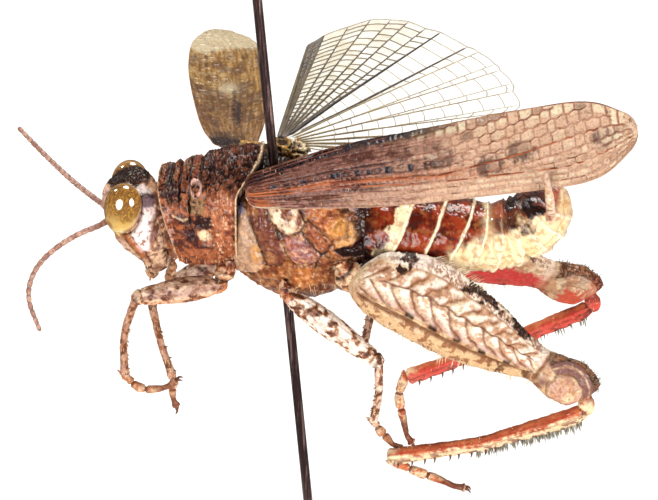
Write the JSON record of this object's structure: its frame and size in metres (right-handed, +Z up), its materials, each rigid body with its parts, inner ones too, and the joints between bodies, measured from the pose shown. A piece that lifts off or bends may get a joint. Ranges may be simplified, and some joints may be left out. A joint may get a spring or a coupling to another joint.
{
  "type": "pinned grasshopper specimen",
  "caption": "Dried grasshopper on a slanting insect pin, left wings closed and right wings spread, standing on a small plain block.",
  "frame": {"origin": "middle of the display block's underside", "axes": "+Z up, the insect's head towards -X and its tail towards +X, its left side towards -Y, the spread wings towards +Y"},
  "size_m": [0.0317, 0.0303, 0.0427],
  "materials": {
    "body_shell": "satin, granular",
    "head_shell": "satin, wrinkled",
    "eye": "glossy",
    "abdomen_shell": "glossy",
    "pale_limb": "satin",
    "red_limb": "satin, slightly translucent",
    "feeler": "satin",
    "forewing": "parchment-like, netted with veins",
    "hindwing": "clear membrane with brown veins",
    "pin_steel": "dark, polished",
    "base_wood": "matt white paint"
  },
  "bodies": {
    "root": {"insect_pin": "pin_steel", "eye_left": "eye", "eye_right": "eye", "head": "head_shell", "labrum": "pale_limb", "palp_left": "pale_limb", "palp_right": "pale_limb", "antenna_left": "feeler", "antenna_right": "feeler", "pronotum": "body_shell", "thorax": "body_shell", "abdomen": "abdomen_shell", "abdomen_tip": "abdomen_shell", "cercus_left": "pale_limb", "cercus_right": "pale_limb", "fore_left_coxa": "body_shell", "fore_left_femur": "pale_limb", "fore_left_tibia": "pale_limb", "fore_left_foot": "pale_limb", "fore_right_coxa": "body_shell", "fore_right_femur": "pale_limb", "fore_right_tibia": "pale_limb", "fore_right_foot": "pale_limb", "middle_left_coxa": "body_shell", "middle_left_femur": "pale_limb", "middle_left_tibia": "pale_limb", "middle_left_foot": "pale_limb", "middle_right_coxa": "body_shell", "middle_right_femur": "pale_limb", "middle_right_tibia": "pale_limb", "middle_right_foot": "pale_limb", "hind_left_coxa": "body_shell", "hind_left_femur": "pale_limb", "hind_left_tibia": "red_limb", "hind_left_foot": "red_limb", "hind_right_coxa": "body_shell", "hind_right_femur": "pale_limb", "hind_right_tibia": "red_limb", "hind_right_foot": "red_limb", "forewing_left": "forewing", "forewing_right": "forewing", "hindwing_right": "hindwing", "hindwing_left": "hindwing", "stand_base": "base_wood"}
  },
  "joints": []
}
